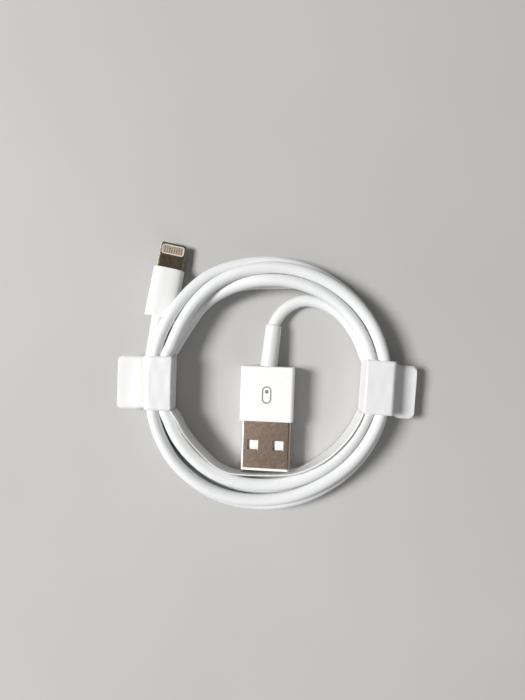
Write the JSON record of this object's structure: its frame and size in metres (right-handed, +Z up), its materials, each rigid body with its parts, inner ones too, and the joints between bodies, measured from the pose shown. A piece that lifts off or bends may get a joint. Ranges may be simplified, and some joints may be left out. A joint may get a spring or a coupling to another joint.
{
  "type": "charging cable",
  "caption": "Coiled charging cable with a wide host plug and a slim reversible device plug, held by a folded white film band with two pull tabs.",
  "frame": {"origin": "on the table, at the bottom centre of the box round the two plugs and the film band", "axes": "+Z up, +X from the left pull tab to the right one, +Y from the host plug's tip towards the device plug"},
  "size_m": [0.0752, 0.0672, 0.0093],
  "materials": {
    "shell_steel": "drawn steel sheet, satin",
    "tab_steel": "fine blasted steel, satin",
    "contact_gold": "gold plated",
    "contact_plastic": "moulded, fine matt",
    "housing_plastic": "moulded white, soft gloss",
    "inner_mould": "moulded, matt",
    "cord_jacket": "white elastomer, satin",
    "relief_rubber": "white elastomer, satin",
    "circuit_board": "solder mask",
    "chip_body": "moulded epoxy",
    "wire_red": "extruded",
    "wire_white": "extruded",
    "wire_green": "extruded",
    "wire_black": "extruded",
    "film": "white film, soft sheen",
    "adhesive": "peelable, clear to cream"
  },
  "bodies": {
    "base": {"coil": "cord_jacket", "host_lead": "cord_jacket", "device_lead": "cord_jacket", "wrap_band": "film", "left_adhesive": "adhesive", "right_adhesive": "adhesive"},
    "host_plug": {"host_shell": "shell_steel", "host_contact_carrier": "contact_plastic", "host_contact_power": "contact_gold", "host_contact_data_minus": "contact_gold", "host_contact_data_plus": "contact_gold", "host_contact_ground": "contact_gold", "host_inner_mould": "inner_mould", "host_housing": "housing_plastic", "host_crimp_ring": "shell_steel", "host_strain_relief": "relief_rubber", "host_wire_red": "wire_red", "host_wire_white": "wire_white", "host_wire_green": "wire_green", "host_wire_black": "wire_black"},
    "device_plug": {"device_shell": "tab_steel", "device_contact_insulator": "contact_plastic", "device_contacts_top": "contact_gold", "device_contacts_bottom": "contact_gold", "device_circuit_board": "circuit_board", "device_controller_chip": "chip_body", "device_rear_can": "shell_steel", "device_housing": "housing_plastic", "device_crimp_ring": "shell_steel", "device_strain_relief": "relief_rubber", "device_wire_red": "wire_red", "device_wire_white": "wire_white", "device_wire_green": "wire_green", "device_wire_black": "wire_black"},
    "left_film_flap": {"left_flap": "film"},
    "right_film_flap": {"right_flap": "film"}
  },
  "joints": [
    {"name": "host_plug_lift", "type": "hinge", "parent": "base", "child": "host_plug", "pos_m": [0.0061, 0.0135, 0.0016], "axis": [-1, 0, 0], "range_deg": [0, 50], "deforming": ["host_lead"]},
    {"name": "device_plug_swing", "type": "hinge", "parent": "base", "child": "device_plug", "pos_m": [-0.02885, 0.0005, 0.0044], "axis": [0, 0, 1], "range_deg": [0, 30], "deforming": ["device_strain_relief", "device_lead"]},
    {"name": "left_flap_fold", "type": "hinge", "parent": "base", "child": "left_film_flap", "pos_m": [-0.02325, -0.00659, 0.00903], "axis": [0.0279, 0.9996, 0], "range_deg": [0, 150]},
    {"name": "right_flap_fold", "type": "hinge", "parent": "base", "child": "right_film_flap", "pos_m": [0.02366, -0.00735, 0.00903], "axis": [-0.0698, -0.9976, 0], "range_deg": [0, 150]}
  ]
}
